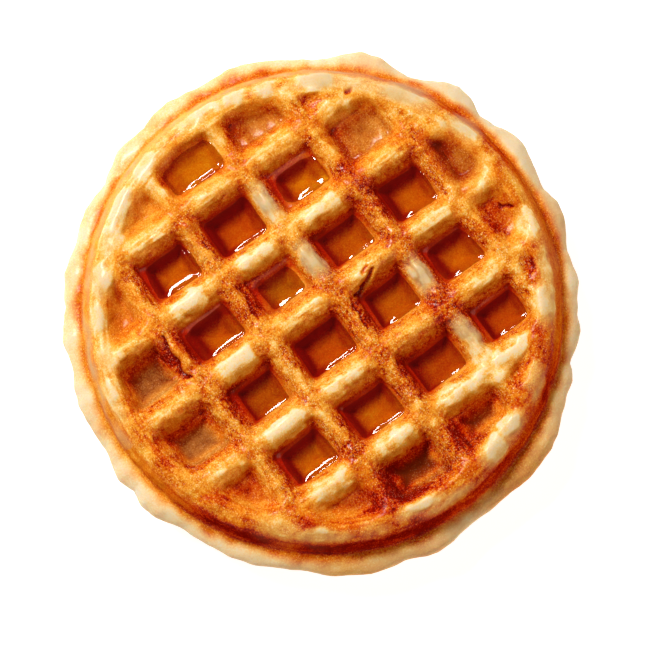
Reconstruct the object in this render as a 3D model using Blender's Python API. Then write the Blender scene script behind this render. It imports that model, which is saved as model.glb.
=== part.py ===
"""A small round waffle with syrup in its pockets.

Two iron plates met at mid height: each pressed one face of the disc, with its ribs, its pockets and
a raised rim ring, and the batter that ran out between them set as a pale wavy skirt around the edge.
One set of ribs runs along X and the other along Y. Sizes are in millimetres, and are turned into
metres where meshes are made. Z = 0 is the plane of the lower ribs, on which the waffle lies.
"""

import math

import bmesh
import bpy

MM = 0.001

# The disc.
THICKNESS = 17.0
SEAM_HEIGHT = 8.3  # where the plates met
DISC_RADIUS = 50.2  # at the shoulder of each face
SKIRT_RADIUS = 55.4
OVAL = 0.012  # the iron's plates were not quite round
OVAL_ANGLE = 59.5  # degrees from +X to the longer axis
SEGMENTS = 96

# The outline of each face from its flat middle to the groove: distance in from DISC_RADIUS, depth.
SHOULDER = ((6.6, 0.0), (3.5, 0.3), (1.1, 1.1), (0.0, 2.5), (-1.2, 6.4))
# The skirt from its upper groove round its lip to the lower one: distance in from SKIRT_RADIUS,
# height above the seam.
SKIRT = ((3.0, 2.9), (1.1, 2.2), (0.0, 0.2), (1.0, -1.9), (2.8, -2.7))
# Lobes of the skirt's edge: angle of the crest, its height, angle of the dip after it, its depth.
LOBES = (
    (5, 1.1, 14, 1.2),
    (22, 1.6, 33, 1.5),
    (44, 1.5, 54, 1.0),
    (75, 0.5, 83, 0.4),
    (91, 0.8, 98, 0.3),
    (105, 0.7, 112, 1.1),
    (121, 0.3, 128, 0.6),
    (136, 0.7, 143, 0.2),
    (150, 0.6, 157, 0.7),
    (164, 0.4, 177, 0.7),
    (183, 1.0, 187, 0.2),
    (192, 1.1, 201, 0.6),
    (220, -0.1, 227, 0.7),
    (244, 0.8, 251, 0.2),
    (259, 0.7, 269, 0.6),
    (292, 1.2, 303, 0.4),
    (307, 0.1, 312, 1.2),
    (318, 0.3, 324, 0.9),
    (330, 0.2, 336, 0.9),
    (347, 0.9, 353, 0.7),
)
SKIRT_WAVES = ((5, 0.35, 0.4), (11, 0.25, 2.1))  # times round, height, phase

# The ribs' middle lines. Columns a to f lie between the ones in X, rows 1 to 6 between those in Y.
RIBS_X = (-47.0, -30.2, -13.3, 3.7, 20.8, 37.0, 49.0)
RIBS_Y = (-46.0, -31.6, -15.4, 1.0, 17.2, 33.4, 49.0)
COLUMNS = "abcdef"
RIB_WIDTH = 5.6  # under the rounded top
WALL_DRAFT = 1.7  # how far each wall comes in down to the floor of a full pocket
ROUNDING = ((1.15, 0.0), (0.4, 0.7), (0.0, 1.9))  # of a rib's top: width added to the pocket, depth
CORNER_RADIUS = 2.2
UPPER_CORNER_STEPS = 2
LOWER_CORNER_STEPS = 1
RING_INNER_RADIUS = 45.2  # the rim ring squeezes what reaches past this
RING_SQUEEZE = 0.12
FULL_DEPTH = 6.8
UNDER_DEPTH = 5.2

# Each upper pocket: its depth, and the depth of its syrup's surface, or None where it is dry.
POCKETS = {
    "a2": (4.2, None),
    "a3": (5.6, None),
    "a4": (5.4, None),
    "a5": (3.4, None),
    "b1": (4.6, None),
    "b2": (6.8, 3.9),
    "b3": (6.4, 4.7),
    "b4": (6.7, 3.3),
    "b5": (6.8, 3.8),
    "b6": (2.8, None),
    "c1": (6.2, None),
    "c2": (6.8, 4.1),
    "c3": (6.8, 3.7),
    "c4": (6.0, 4.3),
    "c5": (6.8, 3.6),
    "c6": (4.4, 2.7),
    "d1": (6.0, None),
    "d2": (6.5, 4.6),
    "d3": (6.6, 4.4),
    "d4": (6.3, 4.5),
    "d5": (6.7, 3.6),
    "d6": (4.4, None),
    "e2": (6.6, 4.2),
    "e3": (6.7, 3.8),
    "e4": (6.8, 3.9),
    "e5": (4.3, None),
    "f3": (5.0, None),
    "f4": (3.0, None),
}
SYRUP_GAP = 0.32  # between a pool and the crust
SYRUP_EDGE = 0.35  # the bevel round a pool's surface
CUT_OVERLAP = 1.0  # how far a cutter stands out of the face it cuts

CRUST_COLOUR = (0.62, 0.235, 0.05, 1.0)
SYRUP_COLOUR = (0.46, 0.11, 0.008, 1.0)


def make_material(name, colour, roughness):
    """A plain material of one colour."""
    material = bpy.data.materials.new(name)
    material.use_nodes = True
    shader = material.node_tree.nodes["Principled BSDF"]
    shader.inputs["Base Color"].default_value = colour
    shader.inputs["Roughness"].default_value = roughness
    shader.inputs["Metallic"].default_value = 0.0
    material.diffuse_color = colour
    return material


def stack_of_rings(rings):
    """A closed mesh through rings of points, from the lowest to the highest, with flat ends."""
    shape = bmesh.new()
    loops = [[shape.verts.new([c * MM for c in point]) for point in ring] for ring in rings]
    count = len(loops[0])
    for lower, upper in zip(loops, loops[1:]):
        for i in range(count):
            j = (i + 1) % count
            shape.faces.new((lower[i], lower[j], upper[j], upper[i]))
    shape.faces.new(reversed(loops[0]))
    shape.faces.new(loops[-1])
    bmesh.ops.recalc_face_normals(shape, faces=shape.faces[:])
    return shape


def add_object(name, shape, material):
    """A new object that holds a bmesh."""
    mesh = bpy.data.meshes.new(name)
    shape.to_mesh(mesh)
    shape.free()
    mesh.materials.append(material)
    thing = bpy.data.objects.new(name, mesh)
    bpy.context.collection.objects.link(thing)
    return thing


def lobe_height(degrees):
    """How far the skirt's edge stands out of its mean outline, eased between crests and dips."""
    marks = []
    for crest, height, dip, depth in LOBES:
        marks += [(crest, height), (dip, -depth)]
    marks = [(marks[-1][0] - 360, marks[-1][1])] + marks + [(marks[0][0] + 360, marks[0][1])]
    degrees %= 360
    for (start, low), (end, high) in zip(marks, marks[1:]):
        if start <= degrees <= end:
            ease = (1 - math.cos(math.pi * (degrees - start) / (end - start))) / 2
            return low + (high - low) * ease
    raise ValueError(degrees)


def outline_ring(radius, height, lobe_share, wave_share):
    """One ring of the disc's surface, with its share of the skirt's lobes and waves."""
    points = []
    for i in range(SEGMENTS):
        degrees = 360 * i / SEGMENTS
        angle = math.radians(degrees)
        oval = 1 + OVAL * math.cos(2 * (angle - math.radians(OVAL_ANGLE)))
        reach = radius * oval + lobe_share * lobe_height(degrees)
        wave = sum(high * math.sin(times * angle + phase) for times, high, phase in SKIRT_WAVES)
        points.append((reach * math.cos(angle), reach * math.sin(angle), height + wave_share * wave))
    return points


def disc_shape():
    """The waffle before its pockets: two shouldered faces with the skirt between them."""
    top = [outline_ring(DISC_RADIUS - inset, THICKNESS - depth, 0, 0) for inset, depth in SHOULDER]
    bottom = [outline_ring(DISC_RADIUS - inset, depth, 0, 0) for inset, depth in SHOULDER]
    lip = [
        outline_ring(SKIRT_RADIUS - inset, SEAM_HEIGHT + rise, 1 - inset / 4, 1)
        for inset, rise in SKIRT
    ]
    return stack_of_rings(bottom + lip[::-1] + top[::-1])


def cell(name):
    """The middle and the half sizes of the space between the ribs' middle lines round a pocket."""
    column = COLUMNS.index(name[0])
    row = int(name[1]) - 1
    x0, x1 = RIBS_X[column : column + 2]
    y0, y1 = RIBS_Y[row : row + 2]
    return (x0 + x1) / 2, (y0 + y1) / 2, (x1 - x0) / 2, (y1 - y0) / 2


def section(name, widening, height, corner_steps=UPPER_CORNER_STEPS):
    """A pocket's outline at one height: a square with round corners, squeezed by the rim ring."""
    mid_x, mid_y, half_x, half_y = cell(name)
    half_x += widening - RIB_WIDTH / 2
    half_y += widening - RIB_WIDTH / 2
    corner = min(CORNER_RADIUS, 0.7 * half_x, 0.7 * half_y)
    points = []
    for quarter in range(4):
        for step in range(corner_steps + 1):
            angle = math.radians(90 * (quarter + step / corner_steps))
            side_x = 1 if quarter in (0, 3) else -1
            side_y = 1 if quarter in (0, 1) else -1
            x = mid_x + side_x * (half_x - corner) + corner * math.cos(angle)
            y = mid_y + side_y * (half_y - corner) + corner * math.sin(angle)
            reach = math.hypot(x, y)
            limit = RING_INNER_RADIUS + 0.5 * widening
            if reach > limit:
                squeezed = limit + RING_SQUEEZE * (reach - limit)
                x, y = x * squeezed / reach, y * squeezed / reach
            points.append((x, y, height))
    return points


def draft_at(depth):
    """How far a pocket's wall has come in at a depth below the rib's rounding."""
    start = ROUNDING[-1][1]
    return -WALL_DRAFT * max(depth - start, 0) / (FULL_DEPTH - start)


def pocket_cutter(name, face_height, into, depth, material):
    """What an iron's stud took out of one face. into is -1 from above and 1 from below."""
    (widest, start), (narrower, end) = ROUNDING[:2]
    above = widest + (widest - narrower) / (end - start) * CUT_OVERLAP
    levels = [(above, -CUT_OVERLAP), *ROUNDING, (draft_at(depth), depth)]
    steps = UPPER_CORNER_STEPS if into < 0 else LOWER_CORNER_STEPS
    rings = [section(name, widening, face_height + into * deep, steps) for widening, deep in levels]
    if into < 0:
        rings.reverse()
    cutter = add_object("stud_" + name, stack_of_rings(rings), material)
    cutter.hide_render = True
    cutter.display_type = "WIRE"
    return cutter


def add_waffle(material):
    """The disc with a pocket cut for each stud of the two plates."""
    waffle = add_object("waffle", disc_shape(), material)
    studs = bpy.data.collections.new("studs")
    bpy.context.scene.collection.children.link(studs)
    for name, (depth, _) in POCKETS.items():
        upper = pocket_cutter(name, THICKNESS, -1, depth, material)
        lower = pocket_cutter(name, 0.0, 1, UNDER_DEPTH * depth / FULL_DEPTH, material)
        for cutter in (upper, lower):
            studs.objects.link(cutter)
            bpy.context.collection.objects.unlink(cutter)
    cut = waffle.modifiers.new("pockets", "BOOLEAN")
    cut.operation = "DIFFERENCE"
    cut.operand_type = "COLLECTION"
    cut.collection = studs
    cut.solver = "EXACT"
    waffle.data.shade_smooth()
    waffle.data.set_sharp_from_angle(angle=math.radians(40))
    return waffle


def add_pool(name, depth, surface, material):
    """The syrup in one pocket, from just over its floor to its surface."""
    floor = depth - SYRUP_GAP
    rings = [
        section(name, draft_at(floor) - SYRUP_GAP, THICKNESS - floor),
        section(name, draft_at(surface + SYRUP_EDGE) - SYRUP_GAP, THICKNESS - surface - SYRUP_EDGE),
        section(name, draft_at(surface) - SYRUP_GAP - SYRUP_EDGE, THICKNESS - surface),
    ]
    return add_object("syrup_" + name, stack_of_rings(rings), material)


def main():
    for thing in list(bpy.data.objects):
        bpy.data.objects.remove(thing)
    crust = make_material("crust", CRUST_COLOUR, 0.6)
    syrup = make_material("syrup", SYRUP_COLOUR, 0.08)
    add_waffle(crust)
    for name, (depth, surface) in POCKETS.items():
        if surface is not None:
            add_pool(name, depth, surface, syrup)


main()
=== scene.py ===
import itertools
import math

import bpy
import numpy as np
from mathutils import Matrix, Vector


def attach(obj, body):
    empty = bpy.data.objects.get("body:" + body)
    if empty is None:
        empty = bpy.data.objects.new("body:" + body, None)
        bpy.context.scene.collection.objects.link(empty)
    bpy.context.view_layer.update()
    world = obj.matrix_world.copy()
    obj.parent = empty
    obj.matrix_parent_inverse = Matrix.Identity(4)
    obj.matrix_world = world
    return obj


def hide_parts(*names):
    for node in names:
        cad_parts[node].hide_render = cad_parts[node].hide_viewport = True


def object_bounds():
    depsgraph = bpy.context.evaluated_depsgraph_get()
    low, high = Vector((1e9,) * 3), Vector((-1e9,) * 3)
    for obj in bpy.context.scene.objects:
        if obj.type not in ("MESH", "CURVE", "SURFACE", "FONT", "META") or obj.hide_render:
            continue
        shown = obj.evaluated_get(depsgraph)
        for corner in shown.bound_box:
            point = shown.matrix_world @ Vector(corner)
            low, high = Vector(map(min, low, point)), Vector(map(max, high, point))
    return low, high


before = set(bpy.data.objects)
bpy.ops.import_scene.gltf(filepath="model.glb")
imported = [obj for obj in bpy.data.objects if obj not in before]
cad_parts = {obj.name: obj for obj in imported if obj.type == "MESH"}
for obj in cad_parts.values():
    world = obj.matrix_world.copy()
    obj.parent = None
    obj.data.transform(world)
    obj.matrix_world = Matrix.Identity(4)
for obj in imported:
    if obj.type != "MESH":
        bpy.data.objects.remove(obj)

# Sizes are in millimetres up to where a mesh is made. X runs along one set of ribs, Y along the other.
MM = 0.001
CAD_LOW, CAD_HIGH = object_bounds()
THICKNESS = (CAD_HIGH.z - CAD_LOW.z) / MM

# The pressed disc.
DISC_RADIUS = 50.0
DISC_DRAFT = 1.4  # how much wider the disc is at the groove than at its shoulders
DISC_DRAFT_DEPTH = 6.5
SHOULDER = 4.6
OVAL = 0.012
OVAL_ANGLE = math.radians(59.5)

# The skirt of batter that ran out between the plates.
SEAM_HEIGHT = 8.3
SKIRT_REACH = 4.6  # from its lip in to where it is thickest
SKIRT_HALF = 2.7
GROOVE = 0.9

# The ribs' middle lines. Columns a to f lie between those in X, rows 1 to 6 between those in Y.
RIBS_X = (-47.0, -30.2, -13.3, 3.7, 20.8, 37.0, 49.0)
RIBS_Y = (-46.0, -31.6, -15.4, 1.0, 17.2, 33.4, 49.0)
COLUMNS = "abcdef"
HALF_ALONG_X = 2.85  # half the width of a rib that runs along X, at its rounded top
HALF_ALONG_Y = 2.25
SHIFT_X = 0.3  # how far a pocket is from the middle between its ribs
SHIFT_Y = -0.3
WALL_DRAFT = 0.37  # how far a wall comes in per millimetre of depth
RIB_ROUNDING = 2.9
FLOOR_ROUNDING = 2.2
CORNER_AT_TOP = 2.6
CORNER_AT_FLOOR = 1.7
RING_INNER_RADIUS = 45.4
RING_ROUNDING = 3.2
UNDER_SHARE = 0.765  # how deep a lower pocket is beside the upper one over it
SAG_ALONG_Y = 0.6  # how much lower the ribs along Y stand between crossings
PILLOW = 0.35  # how far a stretch of rib swells between crossings
CROWN = 1.3  # how far a rib's top falls from its middle line to its edge
WAVINESS = 0.45  # how far the ribs wander from straight lines
WAVE_SIZE = 15.0
LIP_POINTS = 96  # round the CAD waffle's skirt
POCKETS_END = 47.0  # no pocket reaches past this radius

# Each upper pocket: its depth, the depth of its syrup's surface or None where it is dry, how much
# thicker its walls are, how far it is rounded into a dimple, how milky its floor is, up to 9, the
# milk's darker murk also being painted shade in dimples and on shaded floors, and how far its floor
# is browned, in hundredths.
POCKETS = {
    "a2": (5.0, None, 0.0, 0.5, 4, 74),
    "a3": (5.6, None, 0.3, 0.1, 9, 46),
    "a4": (5.4, None, 0.0, 0.2, 9, 52),
    "a5": (3.6, None, 0.2, 0.9, 2, 52),
    "b1": (4.8, None, 0.2, 0.8, 5, 66),
    "b2": (6.8, 3.9, 0.3, 0.0, 0, 30),
    "b3": (6.4, 4.7, 0.2, 0.0, 3, 44),
    "b4": (6.7, 3.3, 0.7, 0.1, 1, 34),
    "b5": (6.8, 3.8, 0.4, 0.0, 0, 30),
    "b6": (3.0, None, 0.2, 1.0, 1, 40),
    "c1": (6.2, None, 0.1, 0.1, 9, 76),
    "c2": (6.8, 4.1, 0.1, 0.0, 0, 30),
    "c3": (6.8, 3.7, 0.1, 0.0, 0, 34),
    "c4": (6.0, 4.3, 0.5, 0.2, 5, 36),
    "c5": (6.8, 3.6, 0.1, 0.0, 0, 30),
    "c6": (4.2, 2.2, 0.4, 0.8, 0, 30),
    "d1": (6.0, None, 0.3, 0.3, 9, 74),
    "d2": (6.5, 4.6, 0.0, 0.0, 1, 44),
    "d3": (6.6, 4.4, 0.0, 0.0, 1, 34),
    "d4": (6.3, 4.5, 0.2, 0.0, 1, 46),
    "d5": (6.7, 3.6, 0.9, 0.2, 0, 24),
    "d6": (4.4, None, 0.0, 0.8, 6, 54),
    "e2": (6.6, 4.2, 0.3, 0.0, 0, 38),
    "e3": (6.7, 3.8, 0.4, 0.1, 0, 30),
    "e4": (6.8, 3.9, 0.0, 0.0, 0, 34),
    "e5": (4.3, None, 0.1, 0.8, 6, 50),
    "f3": (5.0, None, 0.0, 0.7, 6, 74),
    "f4": (2.8, None, 0.0, 1.0, 5, 58),
}

# How far each stretch of rib and each crossing is browned, in hundredths from cream to nearly black.
# One row for each rib along X from the lowest Y, with columns a to f.
TONE_ALONG_X = (
    (46, 9, 10, 12, 3, 46),
    (24, 0, 14, 38, 22, 6),
    (34, 0, 18, 18, 14, 21),
    (24, 5, 5, 12, 28, 34),
    (46, 22, 30, 25, 16, 44),
)
# One row for each rib along Y from the lowest X, with rows 1 to 6.
TONE_ALONG_Y = (
    (60, 50, 48, 94, 50, 44),
    (90, 48, 34, 70, 36, 28),
    (68, 60, 56, 30, 20, 32),
    (66, 36, 18, 62, 36, 40),
    (56, 48, 60, 53, 30, 44),
)
# One row for each rib along X, with the ribs along Y from the lowest X.
TONE_CROSSING = (
    (52, 58, 41, 11, 50),
    (48, 37, 51, 68, 34),
    (50, 41, 53, 58, 37),
    (43, 44, 38, 67, 50),
    (54, 47, 52, 47, 48),
)
GREYISH = ((2, 3), (2, 4), (3, 1), (3, 2))  # ribs along Y and rows where the batter stayed raw

# Marks on the upper face: points along each, half its width, how far it stands up, how much browner
# it is and how wet. A crack and its branch, two glazes of syrup, a torn flap, the slit beside it and
# its pale edge, then small glazes, pits and hair cracks.
MARKS = (
    (((13.1, 0.0), (10.9, -1.1), (8.8, -1.9), (6.7, -1.9)), 0.45, -0.8, 0.45, 0.2),
    (((12.6, 1.2), (10.4, 0.2)), 0.35, -0.4, 0.25, 0.1),
    (((25.0, 4.2), (20.5, 2.0), (13.5, -0.4)), 2.0, 0.1, 0.10, 0.9),
    (((22.5, 14.0), (21.3, 19.5), (20.6, 26.0)), 1.1, 0.1, 0.12, 0.8),
    (((-32.3, 15.0), (-33.3, 11.2), (-34.3, 7.3), (-33.8, 4.1)), 1.1, 0.7, 0.18, 0.2),
    (((-31.0, 14.2), (-31.8, 10.8), (-32.4, 6.6), (-31.6, 3.6)), 0.45, -0.9, 0.35, 0.3),
    (((-29.8, 11.3), (-30.3, 6.3)), 1.2, 0.35, -0.40, 0.3),
    (((-13.6, 30.5), (-13.2, 23.0)), 1.0, 0.1, 0.10, 0.7),
    (((-14.2, -30.0), (-13.6, -27.4)), 1.3, 0.1, 0.15, 0.8),
    (((-5.4, -17.9), (-3.4, -17.4)), 0.9, 0.0, 0.10, 0.8),
    (((23.2, 29.6), (24.6, 28.6)), 0.9, 0.1, 0.10, 0.7),
    (((31.0, 33.6), (32.2, 33.0)), 0.4, -0.5, 0.40, 0.0),
    (((43.5, -5.6), (44.3, -6.3)), 0.4, -0.5, 0.40, 0.0),
    (((5.2, -4.0), (4.6, -10.5)), 0.4, -0.3, 0.25, 0.3),
    (((-11.6, 12.5), (-12.2, 5.5)), 0.4, -0.3, 0.20, 0.2),
    (((19.2, -9.0), (20.0, -3.5)), 0.35, -0.25, 0.15, 0.2),
)

# Pale lobes of the rim ring: angle and half width in degrees, radius and half width in it, and
# paleness, up to 9.
PALE_RING = (
    (4, 3, 45.5, 2.4, 5),
    (15, 4, 48.6, 2.2, 8),
    (20, 3, 44.8, 1.8, 6),
    (33, 6, 48.4, 2.8, 8),
    (28, 3, 45.0, 1.8, 5),
    (45, 6, 48.0, 2.8, 5),
    (55, 5, 47.8, 3.0, 9),
    (62, 3, 46.2, 2.0, 6),
    (68, 2.6, 47.8, 2.2, 10),
    (77, 3, 48.4, 2.0, 9),
    (87, 6, 48.8, 1.8, 8),
    (97, 4, 49.2, 1.0, 5),
    (105, 5, 48.0, 2.2, 8),
    (117, 5, 47.4, 2.2, 9),
    (127, 4, 47.0, 2.2, 7),
    (137, 4, 47.4, 2.2, 9),
    (146, 4, 48.2, 1.6, 8),
    (157, 4, 46.0, 2.6, 7),
    (169, 6, 48.6, 1.4, 7),
    (185, 5, 49.0, 1.6, 5),
    (198, 4, 46.6, 2.6, 5),
    (207, 4, 48.4, 1.2, 3),
    (223, 5, 47.8, 2.6, 6),
    (233, 7, 48.8, 1.6, 7),
    (246, 4, 48.6, 1.2, 3),
    (259, 5, 46.4, 1.5, 8),
    (266, 6, 49.2, 1.5, 7),
    (283, 4, 46.9, 2.6, 9),
    (290, 3.5, 46.5, 2.6, 9),
    (302, 4, 49.3, 1.3, 7),
    (304, 3, 46.8, 2.0, 5),
    (324, 5, 48.0, 3.2, 9),
    (334, 6, 48.7, 2.1, 8),
    (345, 4, 46.6, 2.6, 8),
    (355, 6, 49.5, 1.2, 6),
)
# How far the rim's side, the skirt and the skirt's lip are browned, in hundredths at each angle.
# The side's values are partly its browning and partly painted shade, darkest away from the key light.
SIDE_TONE = (
    (0, 70), (12, 80), (50, 66), (62, 46), (100, 40), (125, 46), (180, 52), (196, 64), (206, 92),
    (219, 96), (226, 70), (233, 100), (262, 100), (268, 84), (280, 90), (294, 72), (302, 88),
    (314, 64), (332, 64), (350, 62),
)
SKIRT_TONE = (
    (0, 55), (10, 55), (18, 62), (28, 62), (35, 44), (45, 52), (60, 58), (93, 60), (98, 38),
    (106, 44), (118, 54), (128, 48), (140, 54), (165, 46), (182, 34), (200, 44), (212, 54),
    (240, 62), (256, 58), (270, 55), (290, 62), (305, 52), (325, 54), (345, 61),
)
LIP_TONE = (
    (0, 8), (30, 14), (60, 20), (90, 22), (105, 20), (120, 16), (150, 18), (180, 10), (205, 12),
    (228, 18), (238, 34), (248, 26), (256, 26), (268, 18), (283, 42), (296, 24), (310, 14),
    (330, 12), (345, 20),
)

# Sides of the rim, in degrees from +X.
LIT_SIDE = 110  # faces the key light; the ring's pale lobes and the rim's side are greyer there
SHADED_SIDE = -80  # away from the key light: the rim gets painted shade, browner and greyer
STREAKY_SIDE = -148  # browned more than the rest, in streaks
BEIGE_SIDE = 36  # the ring's pale lobes are painted greyer there, as shade
DULL_SIDE = 15  # the skirt's outer part is painted greyest there, as shade

LIGHT_WAY = (-0.12, 0.63, 0.77)  # toward the key light; facing away from it, the crust gets painted shade
VOXEL = 0.34
MARGIN = 1.4  # of the field's grid round the CAD's box
# Height, size and seed of the crust's smooth unevenness, and of its grain.
LUMPS = ((0.25, 6.0, 21), (0.15, 2.6, 22))
GRAINS = ((0.15, 1.5, 23), (0.14, 0.8, 24))
LOWEST = 0.02  # no part of the crust hangs under this height


# ---------------------------------------------------------------- numbers

def smooth_max(a, b, width):
    """The larger of two fields, rounded where they meet."""
    near = np.maximum(width - np.abs(a - b), 0) / width
    return np.maximum(a, b) + near * near * width / 4


def smooth_min(a, b, width):
    return -smooth_max(-a, -b, width)


def ease(x, start, end):
    """0 before start, 1 after end, smooth between."""
    t = np.clip((x - start) / (end - start), 0, 1)
    return t * t * (3 - 2 * t)


DIRECTIONS = np.array(
    [v for v in itertools.product((-1, 0, 1), repeat=3) if abs(v[0]) + abs(v[1]) + abs(v[2]) == 2],
    dtype=np.float32,
)


def noise(points, size, seed):
    """Smooth noise from about -1 to 1 at points, with bumps about this size."""
    scaled = points / size + seed * 13.7
    base = np.floor(scaled)
    part = (scaled - base).astype(np.float32)
    base = base.astype(np.int64)
    fade = part**3 * (part * (part * 6 - 15) + 10)
    total = np.zeros(len(points), np.float32)
    for corner in itertools.product((0, 1), repeat=3):
        cell = base + corner
        code = cell[:, 0] * 73856093 ^ cell[:, 1] * 19349663 ^ cell[:, 2] * 83492791 ^ seed * 40503
        code = (code ^ (code >> 13)) * 1274126177 & 0xFFFFFFFF
        code ^= code >> 16
        direction = DIRECTIONS[code % len(DIRECTIONS)]
        weight = np.prod(np.where(corner, fade, 1 - fade), axis=1)
        total += weight * ((part - np.array(corner, np.float32)) * direction).sum(axis=1)
    return total * 1.4


def flat_noise(x, y, size, seed):
    """Noise over x and y, at one height."""
    xs, ys = np.broadcast_arrays(x, y)
    points = np.stack([xs.ravel(), ys.ravel(), np.zeros(xs.size)], axis=1)
    return noise(points, size, seed).reshape(xs.shape)


def nearest(values, lines):
    """The index of the nearest of the inner lines, and how far past it each value is."""
    offsets = values[..., None] - np.array(lines[1:-1])
    index = np.abs(offsets).argmin(axis=-1)
    return index, np.take_along_axis(offsets, index[..., None], axis=-1)[..., 0]


def along(values, lines):
    """Which space between lines each value is in, and where in it from -1 to 1."""
    lines = np.array(lines)
    index = np.clip(np.searchsorted(lines, values) - 1, 0, len(lines) - 2)
    low, high = lines[index], lines[index + 1]
    return index, (2 * values - low - high) / (high - low)


# ---------------------------------------------------------------- the waffle's shape

def skirt_lip():
    """Angles, radii and heights of the lip of the CAD waffle's skirt, sorted by angle."""
    corners = np.array([v.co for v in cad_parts["waffle"].data.vertices]) / MM
    radius = np.hypot(corners[:, 0], corners[:, 1])
    angle = np.arctan2(corners[:, 1], corners[:, 0])
    bins = np.round(angle / (2 * math.pi) * LIP_POINTS).astype(int) % LIP_POINTS
    lip = [max(np.flatnonzero(bins == i), key=lambda k: radius[k]) for i in range(LIP_POINTS)]
    order = sorted(lip, key=lambda k: angle[k])
    return angle[order], radius[order], corners[order, 2]


def oval(angle):
    return 1 + OVAL * np.cos(2 * (angle - OVAL_ANGLE))


def bend(x, y):
    """X and Y with the ribs' slight waviness taken out."""
    wave_x, wave_y = (WAVINESS * flat_noise(x, y, WAVE_SIZE, seed) for seed in (51, 52))
    return x + wave_x, y + wave_y


def face_lift(x, y):
    """How far a face stands out of its plane: ribs along Y sag, ribs swell between crossings."""
    _, past_x = nearest(x, RIBS_X)
    _, past_y = nearest(y, RIBS_Y)
    _, share_x = along(x, RIBS_X)
    _, share_y = along(y, RIBS_Y)
    inner = ease(np.hypot(x, y), 46.0, 42.0)
    on_y_rib = ease(np.abs(past_x), 5.0, 3.0) * ease(np.abs(past_y), 2.2, 4.6)
    swell = np.maximum(ease(np.abs(share_x), 0.95, 0.3), ease(np.abs(share_y), 0.95, 0.3))
    off = smooth_min(np.abs(past_x) / HALF_ALONG_Y, np.abs(past_y) / HALF_ALONG_X, 0.5)
    crown = np.clip(off, 0, 1.4) ** 2
    return inner * (PILLOW * (swell - 1) - SAG_ALONG_Y * on_y_rib - CROWN * crown)


def disc_field(x, y, z, lip, lift):
    """Below zero inside the waffle before its pockets."""
    angle = np.arctan2(y, x)
    radius = np.hypot(x, y)
    middle = THICKNESS / 2
    depth = middle - np.abs(z - middle)
    side = radius / oval(angle) - DISC_RADIUS - DISC_DRAFT * ease(depth, 0.5, DISC_DRAFT_DEPTH)
    disc = smooth_max(side, -depth - lift, SHOULDER)
    reach = np.interp(angle, lip[0], lip[1], period=2 * math.pi)
    height = np.interp(angle, lip[0], lip[2], period=2 * math.pi)
    out = np.maximum(radius - (reach - SKIRT_REACH), 0) / SKIRT_REACH
    up = (z - height) / SKIRT_HALF
    skirt = (np.sqrt(out * out + up * up) - 1) * SKIRT_HALF
    skirt = np.maximum(skirt, DISC_RADIUS - 6 - radius)
    return smooth_min(disc, skirt, GROOVE)


def cell(name):
    """The middle and the half sizes of a pocket's cell between the ribs' middle lines."""
    column = COLUMNS.index(name[0])
    row = int(name[1]) - 1
    x0, x1 = RIBS_X[column : column + 2]
    y0, y1 = RIBS_Y[row : row + 2]
    return (x0 + x1) / 2, (y0 + y1) / 2, (x1 - x0) / 2, (y1 - y0) / 2


def pocket_field(name, x, y, deep, share, rng):
    """Below zero in a pocket. deep is how far a point is below the face that the pocket opens in."""
    depth, _, narrow, soft = POCKETS[name][:4]
    depth = depth * share
    mid_x, mid_y, half_x, half_y = cell(name)
    turn = rng.uniform(-0.03, 0.03)
    mid_x += SHIFT_X + rng.uniform(-0.25, 0.25)
    mid_y += SHIFT_Y + rng.uniform(-0.25, 0.25)
    u = (x - mid_x) * math.cos(turn) + (y - mid_y) * math.sin(turn)
    v = (y - mid_y) * math.cos(turn) - (x - mid_x) * math.sin(turn)
    inward = (WALL_DRAFT + 0.35 * soft) * np.maximum(deep, -1.0)
    corner = CORNER_AT_TOP + (CORNER_AT_FLOOR - CORNER_AT_TOP) * np.clip(deep / depth, 0, 1)
    corner = np.minimum(corner + 3.0 * soft, 0.6 * half_x)
    across = np.abs(u) - (half_x - HALF_ALONG_Y - narrow + rng.uniform(-0.15, 0.15)) + corner
    along_y = np.abs(v) - (half_y - HALF_ALONG_X - narrow + rng.uniform(-0.15, 0.15)) + corner
    square = np.hypot(np.maximum(across, 0), np.maximum(along_y, 0))
    square = square + np.minimum(np.maximum(across, along_y), 0) - corner + inward
    ring = np.hypot(x, y) - RING_INNER_RADIUS + 0.5 * inward
    wall = smooth_max(square, ring, RING_ROUNDING)
    return smooth_max(wall, deep - depth, FLOOR_ROUNDING + 3.5 * soft)


def waffle_field():
    """The grid's axes and the waffle's field on it, below zero inside the crust."""
    lip = skirt_lip()
    lows, highs = np.array(CAD_LOW) / MM - MARGIN, np.array(CAD_HIGH) / MM + MARGIN
    axes = [np.arange(low, high, VOXEL, dtype=np.float32) for low, high in zip(lows, highs)]
    x, y, z = axes[0][:, None, None], axes[1][None, :, None], axes[2][None, None, :]
    bent_x, bent_y = bend(x, y)
    lift = face_lift(bent_x, bent_y) * (z > THICKNESS / 2)
    field = disc_field(x, y, z, lip, lift).astype(np.float32)
    rng = np.random.default_rng(11)
    for name in POCKETS:
        mid_x, mid_y, half_x, half_y = cell(name)
        i = slice(*np.searchsorted(axes[0], (mid_x - half_x - 2, mid_x + half_x + 2)))
        j = slice(*np.searchsorted(axes[1], (mid_y - half_y - 2, mid_y + half_y + 2)))
        xs, ys = bent_x[i, j], bent_y[i, j]
        upper = pocket_field(name, xs, ys, THICKNESS - z, 1.0, rng)
        lower = pocket_field(name, xs, ys, z, UNDER_SHARE, rng)
        field[i, j] = smooth_max(field[i, j], -upper, RIB_ROUNDING)
        field[i, j] = smooth_max(field[i, j], -lower, RIB_ROUNDING)
    return axes, field


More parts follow.
